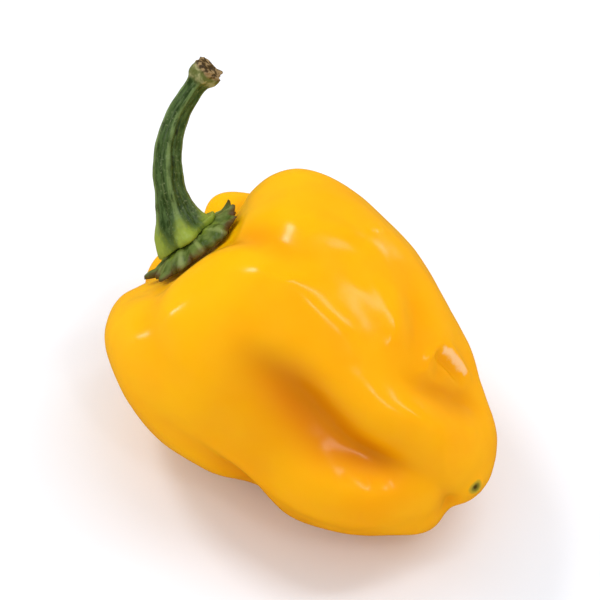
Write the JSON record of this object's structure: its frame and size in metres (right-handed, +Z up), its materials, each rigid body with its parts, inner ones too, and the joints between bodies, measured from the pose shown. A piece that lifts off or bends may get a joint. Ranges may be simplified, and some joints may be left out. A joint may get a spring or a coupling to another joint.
{
  "type": "habanero pepper",
  "caption": "Ripe yellow habanero pepper as picked: lobed, tapering, dented pod with a toothed green calyx and a curved ridged stem, lying on its side.",
  "frame": {"origin": "on the surface that the pepper lies on, under the middle of its bounding box", "axes": "+Z up, +X along the pepper's length from stem to tip, -Y towards the side that the picture's camera looks at"},
  "size_m": [0.0556, 0.0394, 0.0421],
  "materials": {
    "pod_skin": "waxy glossy yellow-orange fruit skin",
    "calyx": "dark green wrinkled leaf tissue with a brown rim",
    "stem": "green ridged stalk with a brown cut end"
  },
  "bodies": {
    "root": {"pod": "pod_skin", "calyx": "calyx", "stem": "stem"}
  },
  "joints": []
}
